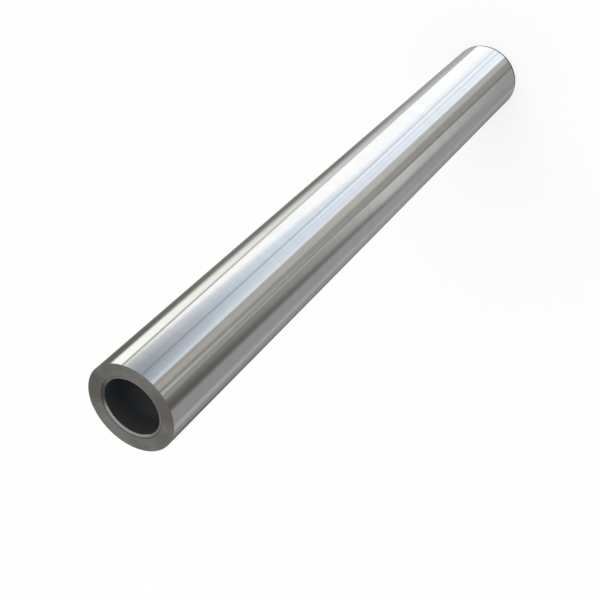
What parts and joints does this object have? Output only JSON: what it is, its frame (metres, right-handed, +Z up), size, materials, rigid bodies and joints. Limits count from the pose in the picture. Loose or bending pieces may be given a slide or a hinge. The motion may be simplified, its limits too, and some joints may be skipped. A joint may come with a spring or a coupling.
{
  "type": "aluminium foil roll",
  "caption": "Long jumbo roll of bright aluminium foil wound on an open metal core, with a spiral of turns on its cut ends, standing on its end; the core takes a three-inch shaft.",
  "frame": {"origin": "on the roll's axis, in the plane of the lower end face that the roll stands on", "axes": "+Z up the roll's axis; the foil's free tail lies on the +Y side, 58 degrees from +X"},
  "size_m": [0.12, 0.12, 1.06],
  "materials": {
    "foil": "bright rolled foil on the turns, satin grey cut edges on the two ends",
    "core_metal": "dull drawn tube with machined mouths, dark inside"
  },
  "bodies": {
    "root": {"core_tube": "core_metal", "foil_winding": "foil"}
  },
  "joints": []
}
